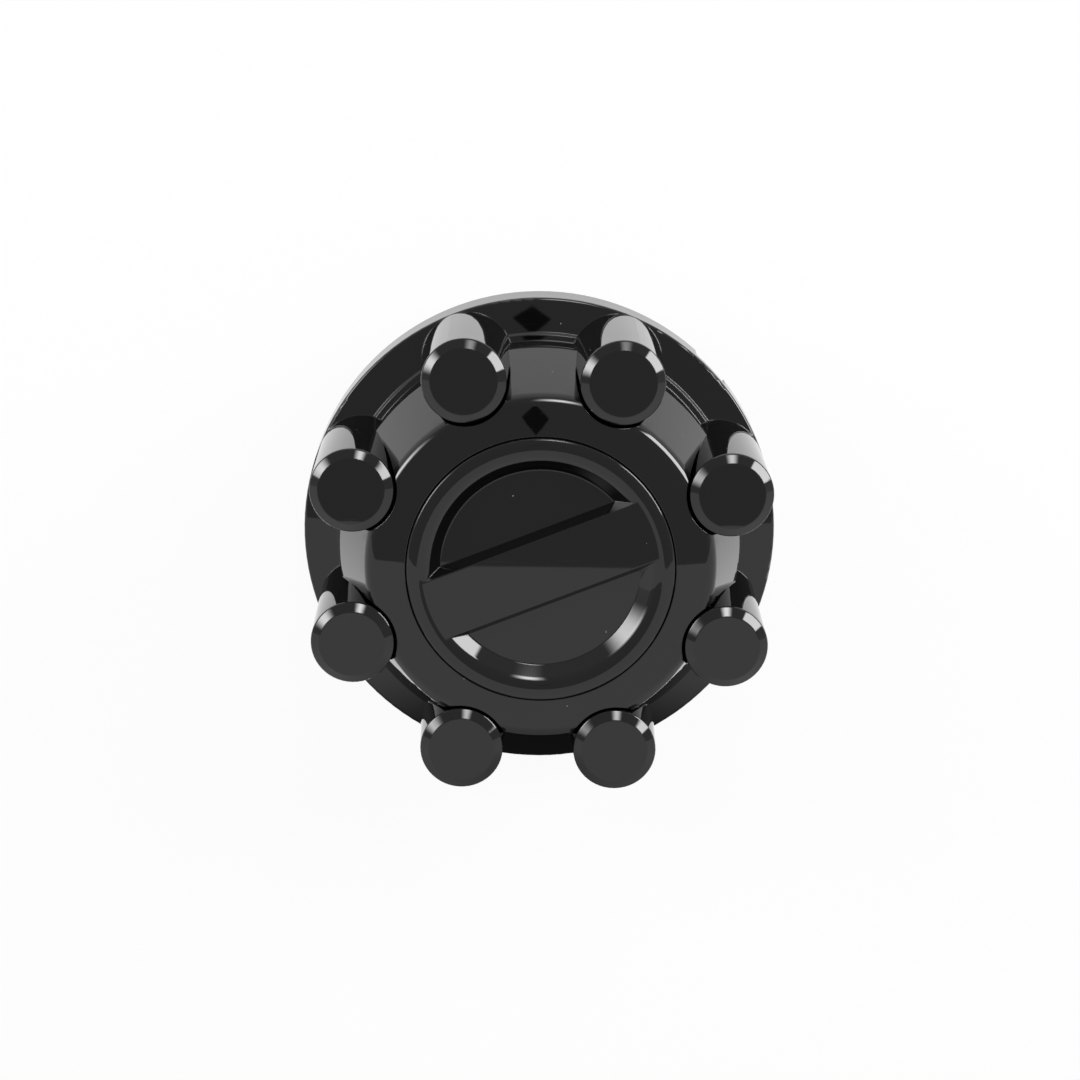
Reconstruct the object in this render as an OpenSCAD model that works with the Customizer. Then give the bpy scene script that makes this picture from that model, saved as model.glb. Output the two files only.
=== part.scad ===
// Hub and lug cover for an eight-lug wheel, with a twist-off centre cap.
// The cover is one moulding: skirt, sloped ring, hub, eight hollow lug posts and the collar of the cap.
// Frame: +Z is the wheel's axis, out of the wheel. Z = 0 is the skirt's rear edge, which meets the wheel.

/* [Flange] */
// Outside diameter of the flange at its front corner
flange_d = 205; // [200:1:214]
// Height of the flange's front corner above the skirt's rear edge
flange_h = 18.4; // [14:0.1:24]
// Radius of the rounded front corner
flange_round = 1.4; // [0.6:0.1:1.8]
// Draft of the skirt, in degrees
skirt_draft = 3; // [1:0.5:4]
// Slope of the ring and of the ledge, in degrees
ring_slope = 7.5; // [4:0.5:14]
// Diameter at the foot of the small step in the ring
step_d = 176.4; // [174:0.2:179]
// Height of that step, cut at 45 degrees
step_h = 1.1; // [0.5:0.1:1.6]
// Width of the notch in the skirt's rear edge
notch_w = 18; // [8:1:24]
// Depth of the notch, from the rear edge
notch_h = 11.5; // [4:0.5:12]
// Direction of the notch, in degrees from +X
notch_at = 44.5; // [30:0.5:60]

/* [Hub] */
// Diameter at the foot of the hub's upright wall
hub_d = 169.4; // [166:0.2:172]
// Height of the crease between the upright wall and the cone
cone_z = 44.5; // [38:0.5:52]
// Diameter at the edge of the face
face_d = 140.8; // [132:0.2:150]
// Height of the face's edge
face_z = 84; // [78:0.5:86]
// Slope of the face, in degrees
face_slope = 10; // [6:0.5:14]
// Radius of the rounded edge between cone and face
face_round = 1.8; // [0.8:0.1:3]
// Wall of the moulding
wall = 2.6; // [2:0.1:3.4]

/* [Lug posts] */
// Number of posts
post_count = 8; // [5:1:8]
// Diameter of the circle on which the posts stand
post_circle_d = 165.1; // [162:0.1:166]
// Diameter of a post at its rounded top edge
post_top_d = 34; // [31:0.2:34.6]
// Height of the middle of a post's domed top
post_top_z = 87.2; // [86:0.2:94]
// Slope of the bevel round a post's top, in degrees
bevel_slope = 35; // [25:1:45]
// Radius of the bevel's outer edge
bevel_edge = 0.8; // [0.4:0.1:1.2]
// Diameter of the low dome inside the bevel
dome_d = 26.8; // [24:0.2:29]
// Slope at the edge of the low dome that closes a post, in degrees
dome_slope = 2.4; // [1:0.2:6]
// Draft of the posts, in degrees
post_draft = 2.4; // [1:0.1:2.6]
// Gap between a post and the hub's face beside it
scallop_gap = 1.2; // [0.8:0.1:2]
// Diameter of the round mouth of a post's socket
mouth_d = 34.4; // [34:0.1:34.6]
// Height at which the round mouth ends
mouth_z = 22; // [20:0.5:30]
// Size of the lug nut's hexagon, across its flats
nut_af = 22.2; // [19:0.1:24]
// Squeeze of the grip ribs on the nut's corners, each side
rib_squeeze = 0.1; // [0:0.05:0.4]
// Thickness of a grip rib
rib_t = 1.6; // [1:0.1:2.4]
// Height at which the grip ribs begin
rib_foot_z = 24; // [23:0.5:30]
// Height at which the grip ribs end
rib_top_z = 56; // [40:1:70]

/* [Centre cap] */
// Outside diameter of the cap's rim
cap_d = 108.2; // [106:0.2:112]
// Gap between the cap's rim and the cover
cap_gap = 0.4; // [0.3:0.05:0.8]
// Running clearance of the cap's bayonet
cap_play = 0.3; // [0.2:0.05:0.5]
// Break of the edges on both sides of the gap
edge_break = 0.4; // [0.2:0.1:0.6]
// Diameter of the crest of the cap's rim
crest_d = 100.4; // [98:0.2:102]
// Height of the crest above the cover's bore edge
crest_h = 1.7; // [1.5:0.1:3]
// Radius of the rim's crown, from the gap to the dish
crown_round = 7.8; // [7:0.1:10]
// Slope of the dish's wall, in degrees
dish_slope = 42; // [38:1:46]
// Diameter of the dish's floor
floor_d = 81.2; // [76:0.2:84]
// Radius of the fillet round the floor
dish_fillet = 0.6; // [0.3:0.1:1]
// Width of the grip bar at its top
bar_w = 25; // [20:0.2:28]
// Draft of the grip bar's sides, in degrees
bar_draft = 26; // [15:1:30]
// Drop of the grip bar's top below the rim's crest
bar_drop = 0.3; // [0.2:0.1:1]
// Direction of the grip bar, in degrees from +X
bar_at = 21.8; // [0:0.2:45]
// Wall of the cap
cap_wall = 2.4; // [1.8:0.1:2.8]
// Inside radius of the cap's bayonet tube
tube_r = 48.2; // [47.6:0.1:48.8]
// Depth of the bayonet tube below the cap's rim
tube_h = 16; // [12:0.5:22]
// Number of bayonet lugs
lug_count = 3; // [2:1:4]
// Width of a bayonet lug
lug_w = 10; // [6:0.5:14]
// Height of a bayonet lug
lug_h = 3; // [2:0.1:4]
// Reach of a bayonet lug from the tube
lug_reach = 2.4; // [1.6:0.1:2.6]
// Turn from locked to free, in degrees
lug_turn = 30; // [20:1:40]

/* [Hidden] */
$fn = 96;
round_fn = 48;
dome_fn = 360;
// Straight stretch between two rounds that follow each other
flat = 0.4;
// Reach of a cut past the surface that it opens
past = 1;

flange_r = flange_d / 2;
step_r = step_d / 2;
hub_r = hub_d / 2;
face_r = face_d / 2;
cap_r = cap_d / 2;
crest_r = crest_d / 2;
floor_r = floor_d / 2;
post_circle_r = post_circle_d / 2;
skirt_rear_r = flange_r + flange_h * tan(skirt_draft);
function ring_z(r) = flange_h + (flange_r - r) * tan(ring_slope);
function ledge_z(r) = ring_z(r) + step_h;
function face_at(r) = face_z + (face_r - r) * tan(face_slope);

// The posts are cones that meet the flange's corner with their foot, closed by a round and a low dome
dome_normal = [sin(dome_slope), cos(dome_slope)];
bevel_normal = [sin(bevel_slope), cos(bevel_slope)];
side_normal = [cos(post_draft), sin(post_draft)];
dome_rim = [dome_d / 2, post_top_z - dome_d / 2 * tan(dome_slope / 2)];
bevel_foot = [post_top_d / 2, dome_rim[1] - (post_top_d - dome_d) / 2 * tan(bevel_slope)];
function post_r(z) = bevel_foot[0] + (bevel_foot[1] - z) * tan(post_draft);
scallop_r = post_r(face_z) + scallop_gap;
post_foot_z = flange_h - wall;
first_post = 180 / post_count;
mouth_r = mouth_d / 2;
nut_corner_r = nut_af / 2 / cos(30);
rib_in_r = nut_corner_r - rib_squeeze;
rib_lead = 2 * rib_t;

// The cap's seat in the cover
bore_r = cap_r + cap_gap;
bore_z = face_at(bore_r);
lip_z = bore_z - cap_wall;
tube_out_r = tube_r + cap_wall;
throat_r = tube_out_r + cap_play;
seat_z = lip_z - cap_play;
tube_z = lip_z - tube_h;
lug_z = tube_z + cap_wall;
lug_tip_r = tube_out_r + lug_reach;
lug_half = asin(lug_w / 2 / tube_out_r);
play_deg = asin(cap_play / throat_r);
collar_r = throat_r + wall;
collar_z = lug_z - wall - cap_play;

// The cap's crown is an arc that runs tangentially into the dish's wall
crest_z = bore_z + crest_h;
crown_mid = [crest_r, crest_z - crown_round];
wall_top = crown_mid + crown_round * [-sin(dish_slope), cos(dish_slope)];
dish_z = wall_top[1] - (wall_top[0] - floor_r) * tan(dish_slope);
// Radius at height z of a line under the dish's wall, as deep in the wall as asked
function under_r(z, deep) = floor_r + (z - dish_z + deep / cos(dish_slope)) / tan(dish_slope);
crown_lean = asin((cap_r - edge_break - flat - crest_r) / crown_round);
crown_tip = crown_mid + crown_round * [sin(crown_lean), cos(crown_lean)];
edge_z = crown_tip[1] - flat * tan(crown_lean);
bar_z = crest_z - bar_drop;

// The sliver between the corner b of the line a, b, c and its round of radius r
function dir(p, q) = (q - p) / norm(q - p);
module corner_sliver(a, b, c, r) {
    u = dir(b, a);
    v = dir(b, c);
    half = acos(u * v) / 2;
    reach = r / tan(half);
    middle = b + dir(b, b + u + v) * r / sin(half);
    difference() {
        polygon([b + u * reach, b - (u + v) * r, b + v * reach, middle]);
        translate(middle) circle(r, $fn = round_fn);
    }
}

module at_corner(line, i, r) {
    corner_sliver(line[i - 1], line[i], line[i + 1], r);
}

// Outer skin of the revolved body, from the axis to the skirt's rear edge
step_top_r = step_r - step_h;
skin = [
    [0, face_at(0)],
    [face_r, face_z],
    [hub_r, cone_z],
    [hub_r, ledge_z(hub_r)],
    [step_top_r, ledge_z(step_top_r)],
    [step_r, ring_z(step_r)],
    [flange_r, flange_h],
    [skirt_rear_r, 0]
];
FACE_EDGE = 1;
RIM_CORNER = 6;

module skin_profile() {
    difference() {
        polygon(concat(skin, [[0, 0]]));
        at_corner(skin, FACE_EDGE, face_round);
        at_corner(skin, RIM_CORNER, flange_round);
    }
}

// Room behind the skin, one wall in from it
room_face_z = face_at(0) - wall / cos(face_slope);
room_face_r = face_r - wall;
room_hub_r = hub_r - wall;
room_flange_r = flange_r - wall;
module room_profile() {
    polygon([
        [0, room_face_z],
        [room_face_r, room_face_z - room_face_r * tan(face_slope)],
        [room_hub_r, cone_z],
        [room_hub_r, ring_z(room_hub_r) - wall],
        [room_flange_r, ring_z(room_flange_r) - wall],
        [skirt_rear_r - wall, 0],
        [skirt_rear_r - wall, -past],
        [0, -past]
    ]);
}

module at_posts() {
    for (i = [0 : post_count - 1])
        rotate(first_post + i * 360 / post_count)
            translate([post_circle_r, 0, 0])
                children();
}

// Corner of the two lines that touch a circle where it faces along the normals m and n
function touch_corner(middle, r, m, n) = middle + r * (m + n) / (1 + m * n);

// Half section of a post from a low height up, the skin or a line one inset in from it
module post_profile(inset, low_z) {
    foot = [post_r(low_z) - inset / cos(post_draft), low_z];
    side_top = touch_corner(bevel_foot, -inset, side_normal, bevel_normal);
    rim = touch_corner(dome_rim, -inset, bevel_normal, dome_normal);
    dome_r = rim[0] / dome_normal[0];
    difference() {
        polygon([[0, low_z], foot, side_top, rim, [0, rim[1]]]);
        if (inset == 0)
            corner_sliver(foot, side_top, rim, bevel_edge);
    }
    intersection() {
        translate(rim - dome_r * dome_normal) circle(dome_r, $fn = dome_fn);
        translate([0, rim[1]]) square(post_top_d);
    }
}

module post_socket() {
    rotate_extrude() post_profile(wall, mouth_z);
    translate([0, 0, -past]) cylinder(r = mouth_r, h = mouth_z + past);
}

// Six ribs in each socket squeeze the corners of the nut
module grip_ribs() {
    out_r = post_r(rib_foot_z) - wall / 2;
    intersection() {
        difference() {
            for (a = [0 : 60 : 300])
                rotate(a) translate([rib_in_r, -rib_t / 2, rib_foot_z])
                    cube([out_r - rib_in_r, rib_t, rib_top_z - rib_foot_z]);
            translate([0, 0, rib_foot_z - past])
                cylinder(r1 = rib_in_r + rib_lead + past, r2 = rib_in_r, h = rib_lead + past);
        }
        rotate_extrude() post_profile(wall / 2, rib_foot_z - past);
    }
}

// A ring sector between two radii, two heights and two angles
module sector(r0, r1, z0, z1, a0, a1) {
    far = 2 * r1;
    translate([0, 0, z0]) linear_extrude(z1 - z0) intersection() {
        difference() {
            circle(r1);
            circle(r0);
        }
        polygon([[0, 0], far * [cos(a0), sin(a0)], far * [cos(a1), sin(a1)]]);
    }
}

module at_lugs() {
    for (i = [0 : lug_count - 1])
        rotate(i * 360 / lug_count) children();
}

// Solid of the collar, before the throat and the bayonet slots are cut
module collar() {
    translate([0, 0, seat_z - wall])
        cylinder(r = bore_r + wall, h = bore_z - seat_z + wall / 2);
    translate([0, 0, collar_z]) cylinder(r = collar_r, h = seat_z - collar_z);
}

// Way in from the front at the free end of the turn, then a slot along the turn
module bayonet_slot() {
    side = lug_half + 2 * play_deg;
    in_r = throat_r - wall;
    low_z = lug_z - cap_play;
    sector(in_r, lug_tip_r + cap_play, low_z, seat_z + past, lug_turn - side, lug_turn + side);
    sector(in_r, collar_r + wall, low_z, lug_z + lug_h + cap_play, -side, lug_turn + side);
}

module cap_seat() {
    translate([0, 0, collar_z - wall]) cylinder(r = throat_r, h = face_z);
    translate([0, 0, seat_z]) cylinder(r = bore_r, h = face_z);
    translate([0, 0, bore_z - edge_break])
        cylinder(r1 = bore_r, r2 = bore_r + edge_break + past, h = edge_break + past);
    at_lugs() bayonet_slot();
}

module notch() {
    rotate(notch_at) translate([flange_r - 2 * wall, -notch_w / 2, -past])
        cube([4 * wall, notch_w, notch_h + past]);
}

// The hub stands clear of the post above the height where the two surfaces cross
module scallop(r, z) {
    translate([0, 0, z]) cylinder(r = r, h = face_z);
}

// What stays of the solid body round each post: the post's own wall, and the wall behind its scallop
module post_body() {
    rotate_extrude() post_profile(0, post_foot_z);
    scallop(scallop_r + wall, cone_z - wall);
}

module cover() {
    color([0.03, 0.03, 0.035]) difference() {
        union() {
            difference() {
                rotate_extrude() skin_profile();
                at_posts() scallop(scallop_r, cone_z);
            }
            at_posts() rotate_extrude() post_profile(0, post_foot_z);
        }
        difference() {
            rotate_extrude() room_profile();
            at_posts() post_body();
            collar();
        }
        cap_seat();
        at_posts() difference() {
            post_socket();
            grip_ribs();
        }
        notch();
    }
}

// Half section of the cap: floor and dish wall, crown, tube
module cap_profile() {
    base_z = dish_z - cap_wall;
    wall_normal = [-sin(dish_slope), cos(dish_slope)];
    tip_normal = [sin(crown_lean), cos(crown_lean)];
    line = [
        [0, base_z],
        [0, dish_z],
        [floor_r, dish_z],
        touch_corner(crown_mid, crown_round, wall_normal, [0, 1]),
        touch_corner(crown_mid, crown_round, [0, 1], tip_normal),
        [cap_r - edge_break, edge_z],
        [cap_r, edge_z - edge_break],
        [cap_r, lip_z],
        [tube_out_r, lip_z],
        [tube_out_r, tube_z],
        [tube_r, tube_z],
        [tube_r, lip_z],
        [under_r(lip_z, cap_wall), lip_z],
        [under_r(base_z, cap_wall), base_z]
    ];
    difference() {
        polygon(line);
        at_corner(line, CROWN_IN, crown_round);
        at_corner(line, CROWN_OUT, crown_round);
    }
    at_corner(line, DISH_FOOT, dish_fillet);
}
DISH_FOOT = 2;
CROWN_IN = 3;
CROWN_OUT = 4;

// Section across the grip bar, the skin or a line one inset in from it
function bar_half(z, inset) = bar_w / 2 + (bar_z - z) * tan(bar_draft) - inset / cos(bar_draft);
function bar_outline(inset, low_z, top_z) = [
    [-bar_half(low_z, inset), low_z],
    [bar_half(low_z, inset), low_z],
    [bar_half(top_z, inset), top_z],
    [-bar_half(top_z, inset), top_z]
];

module along_bar() {
    rotate(bar_at) rotate([90, 0, 90]) translate([0, 0, -cap_r]) linear_extrude(cap_d) children();
}

// The bar's ends run into the crown, and its foot into the floor and the dish's wall
module bar() {
    deep = cap_wall / 2;
    intersection() {
        along_bar() polygon(bar_outline(0, dish_z - cap_wall, bar_z));
        rotate_extrude() polygon([
            [0, dish_z - deep],
            [under_r(dish_z - deep, deep), dish_z - deep],
            [under_r(lip_z + deep, deep), lip_z + deep],
            [crest_r, lip_z + deep],
            [crest_r, bar_z + past],
            [0, bar_z + past]
        ]);
    }
}

// The bar is hollow from behind
module bar_room() {
    low_z = dish_z - cap_wall - past;
    intersection() {
        along_bar() polygon(bar_outline(cap_wall, low_z, bar_z - cap_wall));
        translate([0, 0, low_z]) cylinder(r = tube_r - cap_wall, h = bar_z - low_z);
    }
}

module centre_cap() {
    color([0.03, 0.03, 0.035]) {
        difference() {
            union() {
                rotate_extrude() cap_profile();
                bar();
            }
            bar_room();
        }
        at_lugs() sector(tube_out_r - cap_wall / 2, lug_tip_r, lug_z, lug_z + lug_h, -lug_half, lug_half);
    }
}

cover();
centre_cap();
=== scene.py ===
# %% [markdown]
# # A gloss black hub and lug cover
# The real object is one glossy black moulding with eight tall posts, and a twist-off cap in its
# middle. Its shape comes from the CAD frame, and only the turn of its shoulder is softened here.
# The rest of the work is the surface and the light: a black gloss object is seen almost only by
# what it mirrors, so the room round it is modelled too.

# %% Load the frame
import math

import bmesh
import bpy
from mathutils import Matrix, Vector


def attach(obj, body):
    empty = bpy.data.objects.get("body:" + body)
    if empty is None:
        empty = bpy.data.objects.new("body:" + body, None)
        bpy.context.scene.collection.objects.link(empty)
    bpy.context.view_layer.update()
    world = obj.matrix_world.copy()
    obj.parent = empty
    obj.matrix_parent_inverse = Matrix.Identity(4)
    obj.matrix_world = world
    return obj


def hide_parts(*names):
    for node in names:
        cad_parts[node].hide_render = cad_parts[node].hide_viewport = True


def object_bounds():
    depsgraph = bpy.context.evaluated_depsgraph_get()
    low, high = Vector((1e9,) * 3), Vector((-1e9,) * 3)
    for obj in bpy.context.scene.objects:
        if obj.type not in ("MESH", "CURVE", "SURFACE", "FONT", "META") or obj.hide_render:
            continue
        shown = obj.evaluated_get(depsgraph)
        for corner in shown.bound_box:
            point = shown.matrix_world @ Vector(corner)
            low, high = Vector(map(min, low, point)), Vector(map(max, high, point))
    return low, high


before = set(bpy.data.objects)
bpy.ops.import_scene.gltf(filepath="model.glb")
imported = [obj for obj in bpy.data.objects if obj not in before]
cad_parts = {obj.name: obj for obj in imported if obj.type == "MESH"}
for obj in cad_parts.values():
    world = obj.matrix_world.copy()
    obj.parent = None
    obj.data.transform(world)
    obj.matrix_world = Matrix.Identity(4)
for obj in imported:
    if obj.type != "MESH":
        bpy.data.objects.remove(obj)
low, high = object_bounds()
print("CAD box in millimetres:", [round(1000 * (b - a), 1) for a, b in zip(low, high)])

# %% [markdown]
# ## Camera
# The photograph looks down on the part from the side of 12 o'clock, 13 degrees off its axis. A
# camera could be placed by eye, but then no edge would lie where the photograph has it. So this one
# was fitted to the circles of the part: its distance, tilt and lens follow from how the circles
# shift and shrink with height. The fit gives the turn and the shift from the part to the camera,
# and the camera's own place is the inverse of that.

# %% Camera
TILT = math.radians(13.08)
YAW = math.radians(0.52)
ROLL = math.radians(-0.17)
PATTERN_TURN = math.radians(-0.556)
VIEW_SHIFT = Vector((-0.0002686, 0.003502, -0.870))
RIM_HEIGHT = 0.0165
LENS_MM = 66.3
SENSOR_MM = 36.0

look = Matrix.Rotation(ROLL, 3, "Z") @ Matrix.Rotation(YAW, 3, "Y") @ Matrix.Rotation(TILT, 3, "X")
look = look @ Matrix.Rotation(PATTERN_TURN, 3, "Z")
camera_turn = look.transposed()
camera_place = camera_turn @ -VIEW_SHIFT + Vector((0, 0, RIM_HEIGHT))

camera_data = bpy.data.cameras.new("camera")
camera_data.lens = LENS_MM
camera_data.sensor_fit = "HORIZONTAL"
camera_data.sensor_width = SENSOR_MM
camera_data.clip_start = 0.02
camera = bpy.data.objects.new("camera", camera_data)
camera.matrix_world = Matrix.Translation(camera_place) @ camera_turn.to_4x4()
bpy.context.scene.collection.objects.link(camera)
bpy.context.scene.camera = camera
print("camera at", [round(v, 3) for v in camera_place])

# %% [markdown]
# ## Helpers for node trees
# A material is a graph of nodes. These helpers add a node with its settings, join two sockets and
# start a material, so that each finish below reads as a short list. The others make a node group:
# an effect that both pieces use is built once and placed in each material with its own values.

# %% Node helpers
def add_node(tree, kind, **settings):
    """A new node in the tree. A setting names a property, or an input with _ for each space."""
    node = tree.nodes.new(kind)
    for name, value in settings.items():
        if hasattr(node, name):
            setattr(node, name, value)
        else:
            node.inputs[name.replace("_", " ")].default_value = value
    return node


def join(tree, source, target):
    """Links an output socket to an input socket."""
    tree.links.new(source, target)


def empty_tree(owner, output_kind):
    """The cleared node tree of a material or a world, and its output node."""
    owner.use_nodes = True
    owner.node_tree.nodes.clear()
    return owner.node_tree, add_node(owner.node_tree, output_kind)


# %% Group helpers
def new_group(name, inputs, outputs):
    """A shader node group with named sockets, and its input and output nodes."""
    group = bpy.data.node_groups.new(name, "ShaderNodeTree")
    for label, kind, value in inputs:
        socket = group.interface.new_socket(name=label, in_out="INPUT", socket_type=kind)
        socket.default_value = value
    for label, kind in outputs:
        group.interface.new_socket(name=label, in_out="OUTPUT", socket_type=kind)
    return group, group.nodes.new("NodeGroupInput"), group.nodes.new("NodeGroupOutput")


def use_group(tree, group, **values):
    """Places a group in a tree and sets its inputs."""
    node = tree.nodes.new("ShaderNodeGroup")
    node.node_tree = group
    for name, value in values.items():
        node.inputs[name].default_value = value
    return node


# %% [markdown]
# ## Waviness of the moulding
# Even a polished mould leaves a faint waviness in the plastic, which bends long reflections a
# little. It could be modelled in the mesh, but it is far shallower than any triangle is wide. So it
# is a broad noise, which the material reads as a height.

# %% Waviness group
def waviness_group():
    """Height of the moulding's waviness, from 0 to 1."""
    group, given, result = new_group(
        "moulded_waviness",
        [("Scale", "NodeSocketFloat", 30.0)],
        [("Height", "NodeSocketFloat")],
    )
    place = add_node(group, "ShaderNodeTexCoord")
    broad = add_node(group, "ShaderNodeTexNoise", Detail=1.0, Roughness=0.4)
    join(group, place.outputs["Object"], broad.inputs["Vector"])
    join(group, given.outputs["Scale"], broad.inputs["Scale"])
    join(group, broad.outputs["Fac"], result.inputs["Height"])
    return group


waviness = waviness_group()
print("made the group", waviness.name)

# %% [markdown]
# ## Rubs and haze
# Handling leaves hairline rubs that only show inside highlights, and a gloss that isn't quite even.
# Drawn scratches would need a picture for each side of the part. A noise that is stretched forty
# times and cut off near its top gives the same thin lines anywhere. A slow noise gives the haze.

# %% Rub group
RUB_STRETCH = (1.0, 40.0, 1.0)
RUB_START, RUB_FULL = 0.66, 0.78


def rub_group():
    """Mask of hairline rubs, and a slow variation of gloss, both from 0 to 1."""
    group, given, result = new_group(
        "hairline_rubs",
        [("Scale", "NodeSocketFloat", 60.0), ("Turn", "NodeSocketVector", (0.0, 0.0, 0.7))],
        [("Rubs", "NodeSocketFloat"), ("Haze", "NodeSocketFloat")],
    )
    place = add_node(group, "ShaderNodeTexCoord")
    turned = add_node(group, "ShaderNodeMapping", Scale=RUB_STRETCH)
    join(group, place.outputs["Object"], turned.inputs["Vector"])
    join(group, given.outputs["Turn"], turned.inputs["Rotation"])
    lines = add_node(group, "ShaderNodeTexNoise", Detail=3.0, Roughness=0.6)
    join(group, turned.outputs["Vector"], lines.inputs["Vector"])
    join(group, given.outputs["Scale"], lines.inputs["Scale"])
    sparse = add_node(group, "ShaderNodeMapRange", From_Min=RUB_START, From_Max=RUB_FULL)
    join(group, lines.outputs["Fac"], sparse.inputs["Value"])
    cloud = add_node(group, "ShaderNodeTexNoise", Scale=14.0, Detail=4.0, Roughness=0.6)
    join(group, place.outputs["Object"], cloud.inputs["Vector"])
    join(group, sparse.outputs["Result"], result.inputs["Rubs"])
    join(group, cloud.outputs["Fac"], result.inputs["Haze"])
    return group


rubs = rub_group()
print("made the group", rubs.name)

# %% [markdown]
# ## Dust
# A few pale specks lie on the plastic. Each could be a tiny mesh, but a Voronoi pattern gives them
# at no cost: near the middle of a cell is a speck, and the cell's random colour says whether that
# cell has one.

# %% Dust group
SPECK_RADIUS = 0.09


def dust_group():
    """Mask of sparse dust specks, 1 on a speck."""
    group, given, result = new_group(
        "dust_specks",
        [("Scale", "NodeSocketFloat", 260.0), ("Share", "NodeSocketFloat", 0.03)],
        [("Specks", "NodeSocketFloat")],
    )
    place = add_node(group, "ShaderNodeTexCoord")
    cells = add_node(group, "ShaderNodeTexVoronoi")
    join(group, place.outputs["Object"], cells.inputs["Vector"])
    join(group, given.outputs["Scale"], cells.inputs["Scale"])
    near = add_node(group, "ShaderNodeMath", operation="LESS_THAN")
    near.inputs[1].default_value = SPECK_RADIUS
    join(group, cells.outputs["Distance"], near.inputs[0])
    tint = add_node(group, "ShaderNodeSeparateColor")
    join(group, cells.outputs["Color"], tint.inputs["Color"])
    chosen = add_node(group, "ShaderNodeMath", operation="LESS_THAN")
    join(group, tint.outputs["Red"], chosen.inputs[0])
    join(group, given.outputs["Share"], chosen.inputs[1])
    speck = add_node(group, "ShaderNodeMath", operation="MULTIPLY")
    join(group, near.outputs["Value"], speck.inputs[0])
    join(group, chosen.outputs["Value"], speck.inputs[1])
    join(group, speck.outputs["Value"], result.inputs["Specks"])
    return group


dust = dust_group()
print("made the group", dust.name)

# %% [markdown]
# ## Colour and gloss of the plastic
# Black plastic sends back almost nothing by itself: its base colour is close to zero, and its shine
# is the plain reflection of a dielectric. So the gloss carries the look. It is close to a mirror,
# a little duller where the haze and the rubs are, and matt on a speck of dust.

# %% Plastic colour and gloss
BLACK = (0.0028, 0.0028, 0.0030, 1.0)
DUST_GREY = (0.16, 0.155, 0.15, 1.0)
GLOSS_BEST, GLOSS_WORST = 0.010, 0.035
RUB_ROUGHNESS = 0.10
DUST_ROUGHNESS = 0.7
# A Mix node has a set of sockets for each kind of value, and these are its colour ones
MIX_SHARE, MIX_FROM, MIX_TO, MIX_RESULT = 0, 6, 7, 2


def plastic_colour(tree, speck):
    """Black, with grey where the dust lies."""
    colour = add_node(tree, "ShaderNodeMix", data_type="RGBA")
    colour.inputs[MIX_FROM].default_value = BLACK
    colour.inputs[MIX_TO].default_value = DUST_GREY
    join(tree, speck.outputs["Specks"], colour.inputs[MIX_SHARE])
    return colour.outputs[MIX_RESULT]


def plastic_roughness(tree, rub, speck):
    """Roughness from haze and rubs, or that of dust where it is higher."""
    gloss = add_node(tree, "ShaderNodeMapRange", To_Min=GLOSS_BEST, To_Max=GLOSS_WORST)
    join(tree, rub.outputs["Haze"], gloss.inputs["Value"])
    rough = add_node(tree, "ShaderNodeMath", operation="MULTIPLY_ADD")
    rough.inputs[1].default_value = RUB_ROUGHNESS
    join(tree, rub.outputs["Rubs"], rough.inputs[0])
    join(tree, gloss.outputs["Result"], rough.inputs[2])
    spread = add_node(tree, "ShaderNodeMath", operation="MULTIPLY")
    spread.inputs[1].default_value = DUST_ROUGHNESS
    join(tree, speck.outputs["Specks"], spread.inputs[0])
    dusty = add_node(tree, "ShaderNodeMath", operation="MAXIMUM")
    join(tree, rough.outputs["Value"], dusty.inputs[0])
    join(tree, spread.outputs["Value"], dusty.inputs[1])
    return dusty.outputs["Value"]


# %% [markdown]
# ## Edges of the plastic
# No moulded edge is truly sharp, and the small radius on each one shows as a thin light line. The
# CAD mesh has these edges sharp. Bevels cut into the mesh would break where posts, scallops and
# steps meet, so a Bevel node turns the normal near each edge as such a radius would. The waviness
# and the rubs then tilt that normal a little.

# %% Plastic normal
EDGE_RADIUS = 0.0006
EDGE_SAMPLES = 8
WAVE_DEPTH = 0.00002
RUB_DEPTH = 0.000005
RUB_STRENGTH = 0.15


def plastic_normal(tree, wave, rub):
    """Normal with softly broken edges, waviness and rubs."""
    edge = add_node(tree, "ShaderNodeBevel", samples=EDGE_SAMPLES, Radius=EDGE_RADIUS)
    ripple = add_node(tree, "ShaderNodeBump", Strength=1.0, Distance=WAVE_DEPTH)
    join(tree, wave.outputs["Height"], ripple.inputs["Height"])
    join(tree, edge.outputs["Normal"], ripple.inputs["Normal"])
    hair = add_node(tree, "ShaderNodeBump", invert=True, Strength=RUB_STRENGTH, Distance=RUB_DEPTH)
    join(tree, rub.outputs["Rubs"], hair.inputs["Height"])
    join(tree, ripple.outputs["Normal"], hair.inputs["Normal"])
    return hair.outputs["Normal"]


# %% [markdown]
# ## The finished plastic
# The cover and the cap are the same plastic from two moulds, so they get one recipe with their own
# waviness and their own direction of rubs. Their patterns then don't run on across the gap.

# %% Plastic material
def gloss_plastic(name, wave_scale, rub_turn):
    """Gloss black moulded plastic with waviness, rubs, dust and softly broken edges."""
    material = bpy.data.materials.new(name)
    tree, output = empty_tree(material, "ShaderNodeOutputMaterial")
    shader = add_node(tree, "ShaderNodeBsdfPrincipled", IOR=1.5)
    join(tree, shader.outputs["BSDF"], output.inputs["Surface"])
    wave = use_group(tree, waviness, Scale=wave_scale)
    rub = use_group(tree, rubs, Turn=rub_turn)
    speck = use_group(tree, dust)
    join(tree, plastic_colour(tree, speck), shader.inputs["Base Color"])
    join(tree, plastic_roughness(tree, rub, speck), shader.inputs["Roughness"])
    join(tree, plastic_normal(tree, wave, rub), shader.inputs["Normal"])
    return material


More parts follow.
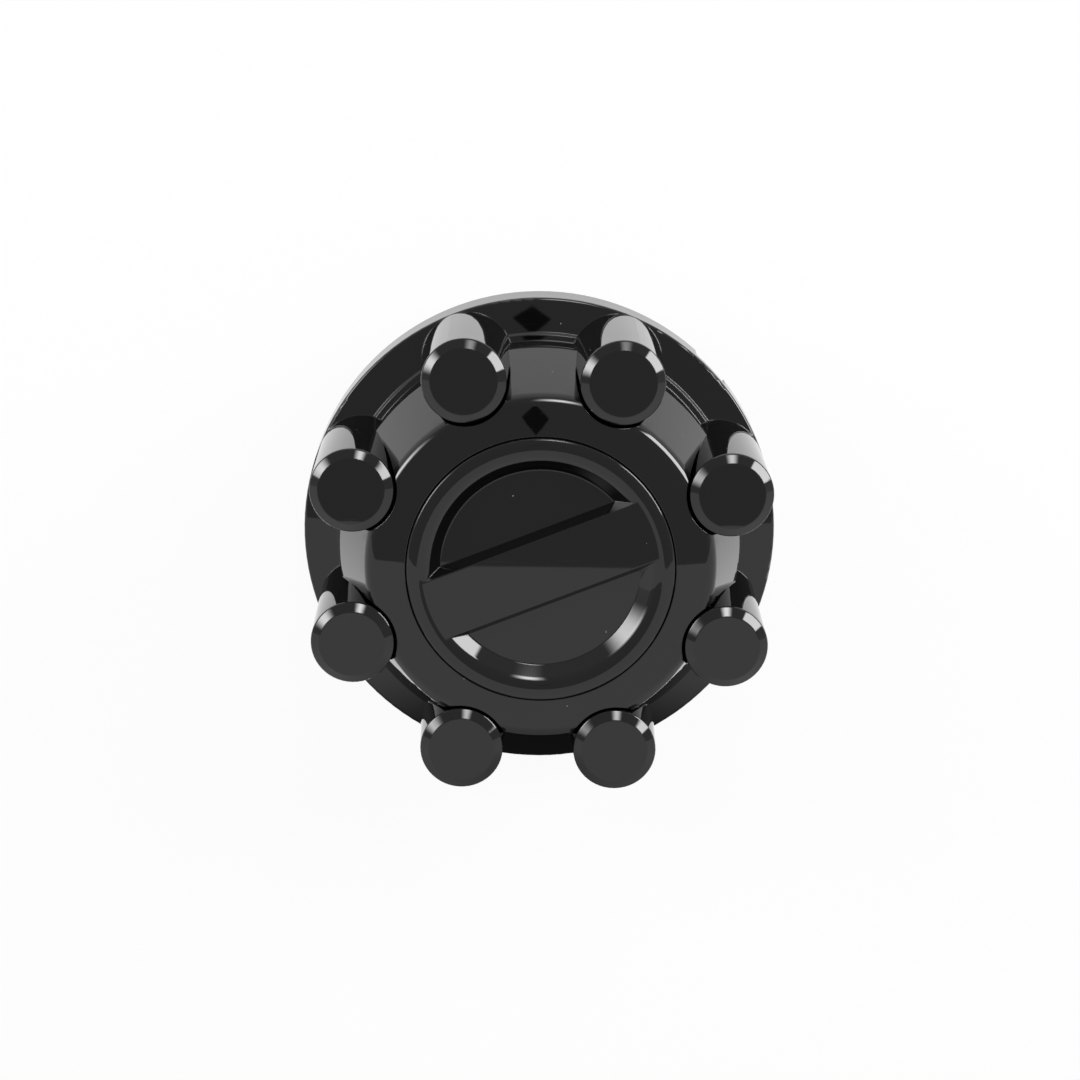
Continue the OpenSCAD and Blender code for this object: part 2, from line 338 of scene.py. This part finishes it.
finishes = {
    "cover": gloss_plastic("cover_plastic", 34.0, (0.0, 0.0, 0.7)),
    "centre_cap": gloss_plastic("cap_plastic", 38.0, (0.0, 0.0, -0.4)),
}
print("finishes:", ", ".join(finish.name for finish in finishes.values()))

# %% [markdown]
# ## Profile of the shoulder
# Between the face and the cone the real moulding turns over a wide, soft radius, which shows as
# broad crescents of light. The CAD solid has a tighter one there. A Bevel node as wide as that
# would blur the posts beside it, so the mesh itself gets the wide radius. Both profiles are two
# lines with an arc that touches them, and they are worked out by the distance r from the axis.

# %% Shoulder profile
FACE_EDGE = Vector((0.0704, 0.0840))
HUB_EDGE = Vector((0.0847, 0.0445))
FACE_SLOPE = math.radians(10)
CONE_SLOPE = math.atan2(FACE_EDGE.y - HUB_EDGE.y, HUB_EDGE.x - FACE_EDGE.x)
CAD_ROUND = 0.0018
TRUE_ROUND = 0.0062


def facing(slope):
    """The outward normal of a profile line that falls away at this slope."""
    return Vector((math.sin(slope), math.cos(slope)))


def round_centre(radius):
    """Middle of the arc of this radius that touches both the face and the cone."""
    m, n = facing(FACE_SLOPE), facing(CONE_SLOPE)
    return FACE_EDGE - radius * (m + n) / (1 + m.dot(n))


def slope_at(r, radius):
    """Slope of the shoulder's profile at a distance r from the axis."""
    share = (r - round_centre(radius).x) / radius
    slope = math.asin(max(-1.0, min(1.0, share)))
    return max(FACE_SLOPE, min(CONE_SLOPE, slope))


def height_at(r, radius):
    """Height of the shoulder's profile at a distance r from the axis."""
    slope = slope_at(r, radius)
    touch = round_centre(radius) + radius * facing(slope)
    return touch.y - (r - touch.x) * math.tan(slope)


drop = height_at(FACE_EDGE.x, CAD_ROUND) - height_at(FACE_EDGE.x, TRUE_ROUND)
print("largest drop of the shoulder in millimetres:", round(1000 * drop, 2))

# %% [markdown]
# ## Finding the shoulder's skin
# The cover is one mesh, so the skin round the shoulder has to be told from the scallops, the posts
# and the inner wall. At each of its corners the normal points straight away from the axis, at about
# the slope of the CAD profile, and the height is that of the profile too. The limits are loose,
# because the normals at a few corners of the CAD mesh lean a little.

# %% Find the skin
SKIN_FROM, SKIN_TO = 0.0500, 0.0849
SKIN_GAP = 0.0009
SIDE_LEAN = 0.35
SLOPE_GAP = 0.60


def leans(point, normal):
    """Distance from the axis, slope away from it, and sideways lean, at a point with a normal."""
    r = math.hypot(point.x, point.y)
    outward = (normal.x * point.x + normal.y * point.y) / r
    aside = (normal.y * point.x - normal.x * point.y) / r
    return r, math.atan2(outward, normal.z), aside


def on_shoulder(face, kept):
    """True if the face is part of the turned skin round the shoulder."""
    for loop in face.loops:
        r, slope, aside = leans(loop.vert.co, loop[kept])
        if not SKIN_FROM < r < SKIN_TO or abs(aside) > SIDE_LEAN:
            return False
        if abs(slope - slope_at(r, CAD_ROUND)) > SLOPE_GAP:
            return False
        if abs(loop.vert.co.z - height_at(r, CAD_ROUND)) > SKIN_GAP:
            return False
    return True


# %% [markdown]
# ## Cutting and lowering the skin
# The CAD mesh has too few rows of corners there for a wide arc. Level planes cut new rows into the
# skin alone, close enough that the arc looks smooth. Then each point of the skin drops from the CAD
# profile to the wide one, and its corners take the exact normal of the arc. A smoothing modifier
# would be shorter, but it would also melt the edges of the scallops.

# %% Cut and lower the skin
CUTS = 12


def cut_skin(bm, kept):
    """Cuts the skin of the shoulder by level planes, from the face to the cone."""
    from_r = round_centre(TRUE_ROUND).x + TRUE_ROUND * math.sin(FACE_SLOPE)
    to_r = round_centre(TRUE_ROUND).x + TRUE_ROUND * math.sin(CONE_SLOPE)
    for k in range(CUTS + 1):
        level = height_at(from_r + (to_r - from_r) * k / CUTS, CAD_ROUND)
        skin = [f for f in bm.faces if on_shoulder(f, kept)]
        lines = {e for f in skin for e in f.edges}
        points = {v for f in skin for v in f.verts}
        bmesh.ops.bisect_plane(
            bm, geom=[*points, *lines, *skin], dist=1e-7, plane_co=(0, 0, level), plane_no=(0, 0, 1)
        )


def outward_normal(point, slope):
    """The normal at a point of a turned surface that falls away from the axis at this slope."""
    out = facing(slope)
    r = math.hypot(point.x, point.y)
    return out.x * point.x / r, out.x * point.y / r, out.y


def lower_skin(bm, kept):
    """Lowers the skin of the shoulder onto the wide radius."""
    skin = [f for f in bm.faces if on_shoulder(f, kept)]
    for face in skin:
        for loop in face.loops:
            point = loop.vert.co
            loop[kept] = outward_normal(point, slope_at(math.hypot(point.x, point.y), TRUE_ROUND))
    for vert in {v for f in skin for v in f.verts}:
        r = math.hypot(vert.co.x, vert.co.y)
        vert.co.z += height_at(r, TRUE_ROUND) - height_at(r, CAD_ROUND)
    print("skin faces at the shoulder:", len(skin))


# %% [markdown]
# ## Laying the ring
# The sloped ring round the posts is a flat cone, and where it faces the camera it mirrors it. The
# mirror image lies where it does in the photograph if the ring is a third of a degree flatter than
# in the CAD model. The ring is tipped about its middle, so that its two rims move by less than a
# tenth of a millimetre.

# %% Lay the ring
RING_FROM, RING_MIDDLE = 0.0850, 0.0950
CAD_RING_SLOPE = math.radians(7.5)
TRUE_RING_SLOPE = math.radians(7.15)
RING_SLOPE_GAP = 0.01


def flatten_ring(bm, kept):
    """Turns the sloped ring to the slope at which the photograph's ring mirrors the camera."""
    ring = []
    for face in bm.faces:
        looks = [leans(loop.vert.co, loop[kept])[:2] for loop in face.loops]
        if all(r > RING_FROM and abs(s - CAD_RING_SLOPE) < RING_SLOPE_GAP for r, s in looks):
            ring.append(face)
    for face in ring:
        for loop in face.loops:
            loop[kept] = outward_normal(loop.vert.co, TRUE_RING_SLOPE)
    lift = math.tan(CAD_RING_SLOPE) - math.tan(TRUE_RING_SLOPE)
    for vert in {v for f in ring for v in f.verts}:
        vert.co.z += lift * (math.hypot(vert.co.x, vert.co.y) - RING_MIDDLE)
    print("faces of the ring:", len(ring))


# %% [markdown]
# ## The cover
# The CAD node itself stays as it is, so the cover gets a merged copy of its mesh, and the copy
# takes the node's place. Merging and cutting would lose the CAD normals that make the curves look
# smooth. So they are kept at the corners as plain values, which the cuts blend, and put back at the
# end.

# %% Cover
MERGE_GAP = 1e-7


def softened_cover(node):
    """A merged copy of the cover's mesh with the wide shoulder and the flatter ring."""
    mesh = node.data.copy()
    mesh.name = "cover_skin"
    stored = mesh.attributes.new("kept_normal", "FLOAT_VECTOR", "CORNER")
    for item, corner in zip(stored.data, mesh.corner_normals):
        item.vector = corner.vector
    bm = bmesh.new()
    bm.from_mesh(mesh)
    kept = bm.loops.layers.float_vector["kept_normal"]
    bmesh.ops.remove_doubles(bm, verts=bm.verts[:], dist=MERGE_GAP)
    cut_skin(bm, kept)
    lower_skin(bm, kept)
    flatten_ring(bm, kept)
    bmesh.ops.triangulate(bm, faces=[f for f in bm.faces if len(f.verts) > 3])
    bm.to_mesh(mesh)
    bm.free()
    mesh.shade_smooth()
    normals = [item.vector.normalized() for item in mesh.attributes["kept_normal"].data]
    mesh.normals_split_custom_set(normals)
    mesh.attributes.remove(mesh.attributes["kept_normal"])
    return mesh


cover_shell = bpy.data.objects.new("cover_shell", softened_cover(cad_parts["cover"]))
bpy.context.scene.collection.objects.link(cover_shell)
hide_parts("cover")
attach(cover_shell, "cover_body")
print("the cover has", len(cover_shell.data.vertices), "points")

# %% [markdown]
# ## Dressing the pieces
# The cap keeps its CAD mesh, whose own normals keep the curves smooth, and only gets the finish.
# The finish goes into the slot that each mesh already has, so that the mesh isn't touched.

# %% Dress the pieces
dressed = {cover_shell: finishes["cover"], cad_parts["centre_cap"]: finishes["centre_cap"]}
for piece, finish in dressed.items():
    for slot in piece.material_slots:
        slot.material = finish
    print(piece.name, "has", len(piece.data.polygons), "triangles and is", finish.name)

# %% [markdown]
# ## Room
# The photograph's background is pure white, but what the plastic mirrors is not: a dim room
# above and behind the camera, that grows lighter down to the horizon. So the world answers by
# ray: camera rays see white, and all other rays see the dim room.

# %% World
WHITE = (1.0, 1.0, 1.0, 1.0)
# Each pair is a height and a grey level: 0 is the horizon, and 1 is straight up
ROOM_LEVELS = [(0.0, 1.0), (0.12, 0.85), (0.35, 0.50), (0.70, 0.42), (1.0, 0.40)]


def room_greys(tree):
    """Grey levels of the room by the height of the direction that a ray takes."""
    place = add_node(tree, "ShaderNodeTexCoord")
    parts = add_node(tree, "ShaderNodeSeparateXYZ")
    join(tree, place.outputs["Generated"], parts.inputs["Vector"])
    ramp = add_node(tree, "ShaderNodeValToRGB")
    stops = ramp.color_ramp.elements
    while len(stops) < len(ROOM_LEVELS):
        stops.new(0.5)
    for stop, (height, level) in zip(stops, ROOM_LEVELS):
        stop.position = height
        stop.color = (level, level, level, 1.0)
    join(tree, parts.outputs["Z"], ramp.inputs["Fac"])
    return ramp.outputs["Color"]


def room_world():
    """White for the camera, and a grey room for reflected and diffuse rays."""
    world = bpy.data.worlds.new("room")
    bpy.context.scene.world = world
    tree, output = empty_tree(world, "ShaderNodeOutputWorld")
    path = add_node(tree, "ShaderNodeLightPath")
    seen = add_node(tree, "ShaderNodeBackground", Color=WHITE, Strength=1.0)
    room = add_node(tree, "ShaderNodeBackground", Strength=1.0)
    join(tree, room_greys(tree), room.inputs["Color"])
    choose = add_node(tree, "ShaderNodeMixShader")
    join(tree, path.outputs["Is Camera Ray"], choose.inputs["Fac"])
    join(tree, room.outputs["Background"], choose.inputs[1])
    join(tree, seen.outputs["Background"], choose.inputs[2])
    join(tree, choose.outputs["Shader"], output.inputs["Surface"])
    print("world with", len(ROOM_LEVELS), "grey levels")


room_world()

# %% [markdown]
# ## Table
# The part lies on a white table that the camera can't tell from the background. To the camera
# and to mirrored rays the table is mostly a plain white glow. The rest of it is a matt white that
# takes light, so that the part still has its soft contact shadow.

# %% Floor
FLOOR_HALF = 3.0
FLOOR_GAP = 0.0002
FLOOR_GLOW = 0.93
MATT_WHITE = (0.8, 0.8, 0.8, 1.0)


def table_white():
    """Matt white that mostly glows plain white to the camera and to mirrored rays."""
    material = bpy.data.materials.new("table_white")
    tree, output = empty_tree(material, "ShaderNodeOutputMaterial")
    path = add_node(tree, "ShaderNodeLightPath")
    matt = add_node(tree, "ShaderNodeBsdfDiffuse", Color=MATT_WHITE)
    glow = add_node(tree, "ShaderNodeEmission", Color=WHITE, Strength=1.0)
    seen = path.outputs["Is Camera Ray"]
    for ray in ("Is Glossy Ray", "Is Transmission Ray"):
        either = add_node(tree, "ShaderNodeMath", operation="MAXIMUM")
        join(tree, seen, either.inputs[0])
        join(tree, path.outputs[ray], either.inputs[1])
        seen = either.outputs["Value"]
    share = add_node(tree, "ShaderNodeMath", operation="MULTIPLY")
    share.inputs[1].default_value = FLOOR_GLOW
    join(tree, seen, share.inputs[0])
    choose = add_node(tree, "ShaderNodeMixShader")
    join(tree, share.outputs["Value"], choose.inputs["Fac"])
    join(tree, matt.outputs["BSDF"], choose.inputs[1])
    join(tree, glow.outputs["Emission"], choose.inputs[2])
    join(tree, choose.outputs["Shader"], output.inputs["Surface"])
    return material


bpy.ops.mesh.primitive_plane_add(size=2 * FLOOR_HALF, location=(0, 0, low[2] - FLOOR_GAP))
floor = bpy.context.active_object
floor.name = "floor"
floor.data.materials.append(table_white())
print("floor at height", round(floor.location.z, 4))

# %% [markdown]
# ## Softboxes
# Three softboxes give the highlights on the bevelled heads and in the dish: top, upper left and
# upper right. Area lamps with a flat glow would mirror as hard bright patches. The real ones fade
# towards their edges, so the glow of each lamp falls off over a share of its width.

# %% Glow of a softbox
def fade_to_edges(tree, soft):
    """Lets a lamp's glow fade at each edge, over this share of its width."""
    where = add_node(tree, "ShaderNodeNewGeometry")
    parts = add_node(tree, "ShaderNodeSeparateXYZ")
    join(tree, where.outputs["Parametric"], parts.inputs["Vector"])
    both = add_node(tree, "ShaderNodeMath", operation="MULTIPLY")
    for number, axis in enumerate(("X", "Y")):
        from_edge = add_node(tree, "ShaderNodeMath", operation="PINGPONG")
        from_edge.inputs[1].default_value = 0.5
        join(tree, parts.outputs[axis], from_edge.inputs[0])
        fade = add_node(tree, "ShaderNodeMapRange", interpolation_type="SMOOTHSTEP")
        fade.inputs["From Max"].default_value = soft
        join(tree, from_edge.outputs["Value"], fade.inputs["Value"])
        join(tree, fade.outputs["Result"], both.inputs[number])
    join(tree, both.outputs["Value"], tree.nodes["Emission"].inputs["Strength"])


# %% Lamps
SOFTBOX_DISTANCE = 1.5


def softbox(name, direction, size, level, soft):
    """A lamp seen from the part in a direction given as azimuth and height, in degrees.

    level is its brightness against white, and soft the share of its width that fades at each edge.
    """
    azimuth, height = (math.radians(v) for v in direction)
    sideways = math.cos(height)
    aim = Vector((
        sideways * math.cos(azimuth), sideways * math.sin(azimuth), math.sin(height)
    ))
    data = bpy.data.lights.new(name, "AREA")
    data.shape = "RECTANGLE"
    data.size, data.size_y = size
    data.energy = level * math.pi * size[0] * size[1]
    data.use_nodes = True
    fade_to_edges(data.node_tree, soft)
    lamp = bpy.data.objects.new(name, data)
    turn = aim.to_track_quat("Z", "Y").to_matrix().to_4x4()
    lamp.matrix_world = Matrix.Translation(aim * SOFTBOX_DISTANCE) @ turn
    bpy.context.scene.collection.objects.link(lamp)
    print(name, "gives", round(data.energy, 1), "watts")


softbox("softbox_top", (82, 37), (0.54, 0.66), 17.0, 0.48)
softbox("softbox_left", (157, 26), (0.98, 0.82), 14.5, 0.45)
softbox("softbox_right", (29, 23), (0.85, 0.65), 14.0, 0.10)

# %% [markdown]
# ## Mirrored table
# The sample in the photograph stood upright, with its 6 o'clock side down on a white table. The
# lower half of the face mirrors that table, up to its front edge, and the ring mirrors the dark
# strip under the part. A second table in the scene would stand in the picture, so a card at that
# place, seen by mirrored rays alone, gives both.

# %% Shade on the mirrored table
SHADE_END = 0.13
SHADE_START = 0.35 * SHADE_END
SHADE_WIDEN = (0.75, 0.0, 1.0)
DARKEST, LIGHTEST = 0.10, 0.98


def table_card():
    """A white glow that darkens near the part, in a patch that is wider than it is deep."""
    material = bpy.data.materials.new("table_card")
    tree, output = empty_tree(material, "ShaderNodeOutputMaterial")
    glow = add_node(tree, "ShaderNodeEmission")
    place = add_node(tree, "ShaderNodeTexCoord")
    squeeze = add_node(tree, "ShaderNodeVectorMath", operation="MULTIPLY")
    squeeze.inputs[1].default_value = SHADE_WIDEN
    join(tree, place.outputs["Object"], squeeze.inputs[0])
    away = add_node(tree, "ShaderNodeVectorMath", operation="LENGTH")
    join(tree, squeeze.outputs["Vector"], away.inputs[0])
    shade = add_node(
        tree, "ShaderNodeMapRange", interpolation_type="SMOOTHSTEP",
        From_Min=SHADE_START, From_Max=SHADE_END, To_Min=DARKEST, To_Max=LIGHTEST,
    )
    join(tree, away.outputs["Value"], shade.inputs["Value"])
    join(tree, shade.outputs["Result"], glow.inputs["Strength"])
    join(tree, glow.outputs["Emission"], output.inputs["Surface"])
    return material


# %% Mirrored table
TABLE_DROP = 0.107
TABLE_BACK, TABLE_FRONT = 0.001, 0.53
TABLE_HALF = 1.6


def mirrored_table():
    """A white card under the 6 o'clock side, dark where the part shades it."""
    mesh = bpy.data.meshes.new("mirrored_table")
    corners = [
        (-TABLE_HALF, TABLE_BACK), (TABLE_HALF, TABLE_BACK),
        (TABLE_HALF, TABLE_FRONT), (-TABLE_HALF, TABLE_FRONT),
    ]
    bm = bmesh.new()
    bm.faces.new([bm.verts.new((x, -TABLE_DROP, z)) for x, z in corners])
    bm.to_mesh(mesh)
    bm.free()
    card = bpy.data.objects.new("mirrored_table", mesh)
    bpy.context.scene.collection.objects.link(card)
    card.data.materials.append(table_card())
    for ray in ("camera", "diffuse", "shadow", "transmission"):
        setattr(card, "visible_" + ray, False)
    print("mirrored table", TABLE_FRONT - TABLE_BACK, "m deep")


mirrored_table()

# %% [markdown]
# ## The camera's own reflection
# Where the ring and the face look straight back, the photograph shows a small dark diamond on each:
# the mirror image of the camera. A painted patch would be wrong from any other side, so a dark card
# stands just above the camera, where only reflections see it.

# %% Camera card
CARD_HALF_WIDTH = 0.035
CARD_HALF_HEIGHT = 0.0125
CARD_RISE = 0.011
NO_LIGHT = (0.0, 0.0, 0.0, 1.0)


def camera_card():
    """A dark diamond at the camera, seen only in reflections."""
    bpy.ops.mesh.primitive_circle_add(vertices=4, radius=1.0, fill_type="NGON")
    card = bpy.context.active_object
    card.name = "camera_card"
    card.matrix_world = (
        Matrix.Translation((0, CARD_RISE, 0))
        @ camera.matrix_world
        @ Matrix.Diagonal((CARD_HALF_WIDTH, CARD_HALF_HEIGHT, 1.0, 1.0))
    )
    material = bpy.data.materials.new("card_black")
    material.use_nodes = True
    shader = material.node_tree.nodes["Principled BSDF"]
    shader.inputs["Base Color"].default_value = NO_LIGHT
    shader.inputs["Specular IOR Level"].default_value = 0.0
    card.data.materials.append(material)
    for ray in ("camera", "diffuse", "shadow"):
        setattr(card, "visible_" + ray, False)
    print("camera card", 2 * CARD_HALF_WIDTH, "by", 2 * CARD_HALF_HEIGHT, "m")


camera_card()

# %% [markdown]
# ## Colours
# Colours are written as they should appear, so the view transform is Standard.

# %% Finish
bpy.context.scene.view_settings.view_transform = "Standard"
